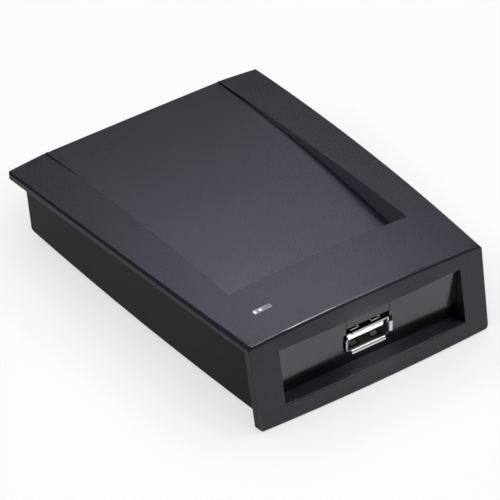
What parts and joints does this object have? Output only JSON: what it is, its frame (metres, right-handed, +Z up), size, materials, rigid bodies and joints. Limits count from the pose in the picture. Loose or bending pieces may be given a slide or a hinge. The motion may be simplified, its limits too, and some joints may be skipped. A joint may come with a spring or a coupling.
{
  "type": "contactless smart card reader",
  "caption": "Wedge-shaped desktop contactless card reader with a card tray on top, a leaning bezel and a USB-A receptacle in its window.",
  "frame": {"origin": "centre of the bounding box's bottom, on the table under the reader", "axes": "+Z up; +Y from the bezel and its receptacle to the low back edge; +X to the right for a user who faces the bezel"},
  "size_m": [0.08, 0.11, 0.0259],
  "materials": {
    "cover_plastic": "fine spark-eroded matte, moulded",
    "base_plastic": "fine matte, moulded",
    "clear_plastic": "clear, polished",
    "circuit_board": "satin solder mask",
    "plated_sheet": "bright nickel plate",
    "white_insulator": "satin, moulded",
    "contact_metal": "gold flash",
    "copper_track": "satin copper",
    "chip_body": "matte epoxy",
    "can_metal": "satin drawn can",
    "led_lens": "diffuse lens",
    "ceramic_chip": "fired ceramic",
    "screw_steel": "zinc plate",
    "foot_rubber": "matte"
  },
  "bodies": {
    "root": {"top_cover": "cover_plastic", "base_shell": "base_plastic", "light_pipe": "clear_plastic", "main_board": "circuit_board", "usb_shell": "plated_sheet", "usb_insulator": "white_insulator", "usb_contacts": "contact_metal", "antenna_board": "circuit_board", "antenna_coil": "copper_track", "antenna_header": "chip_body", "reader_chip": "chip_body", "microcontroller": "chip_body", "reader_crystal": "can_metal", "clock_crystal": "can_metal", "buzzer": "chip_body", "status_leds": "led_lens", "voltage_regulator": "chip_body", "electrolytic_capacitor": "can_metal", "chip_passives": "ceramic_chip", "case_screws": "screw_steel", "board_screws": "screw_steel", "foot_front_left": "foot_rubber", "foot_front_right": "foot_rubber", "foot_back_left": "foot_rubber", "foot_back_right": "foot_rubber"}
  },
  "joints": []
}
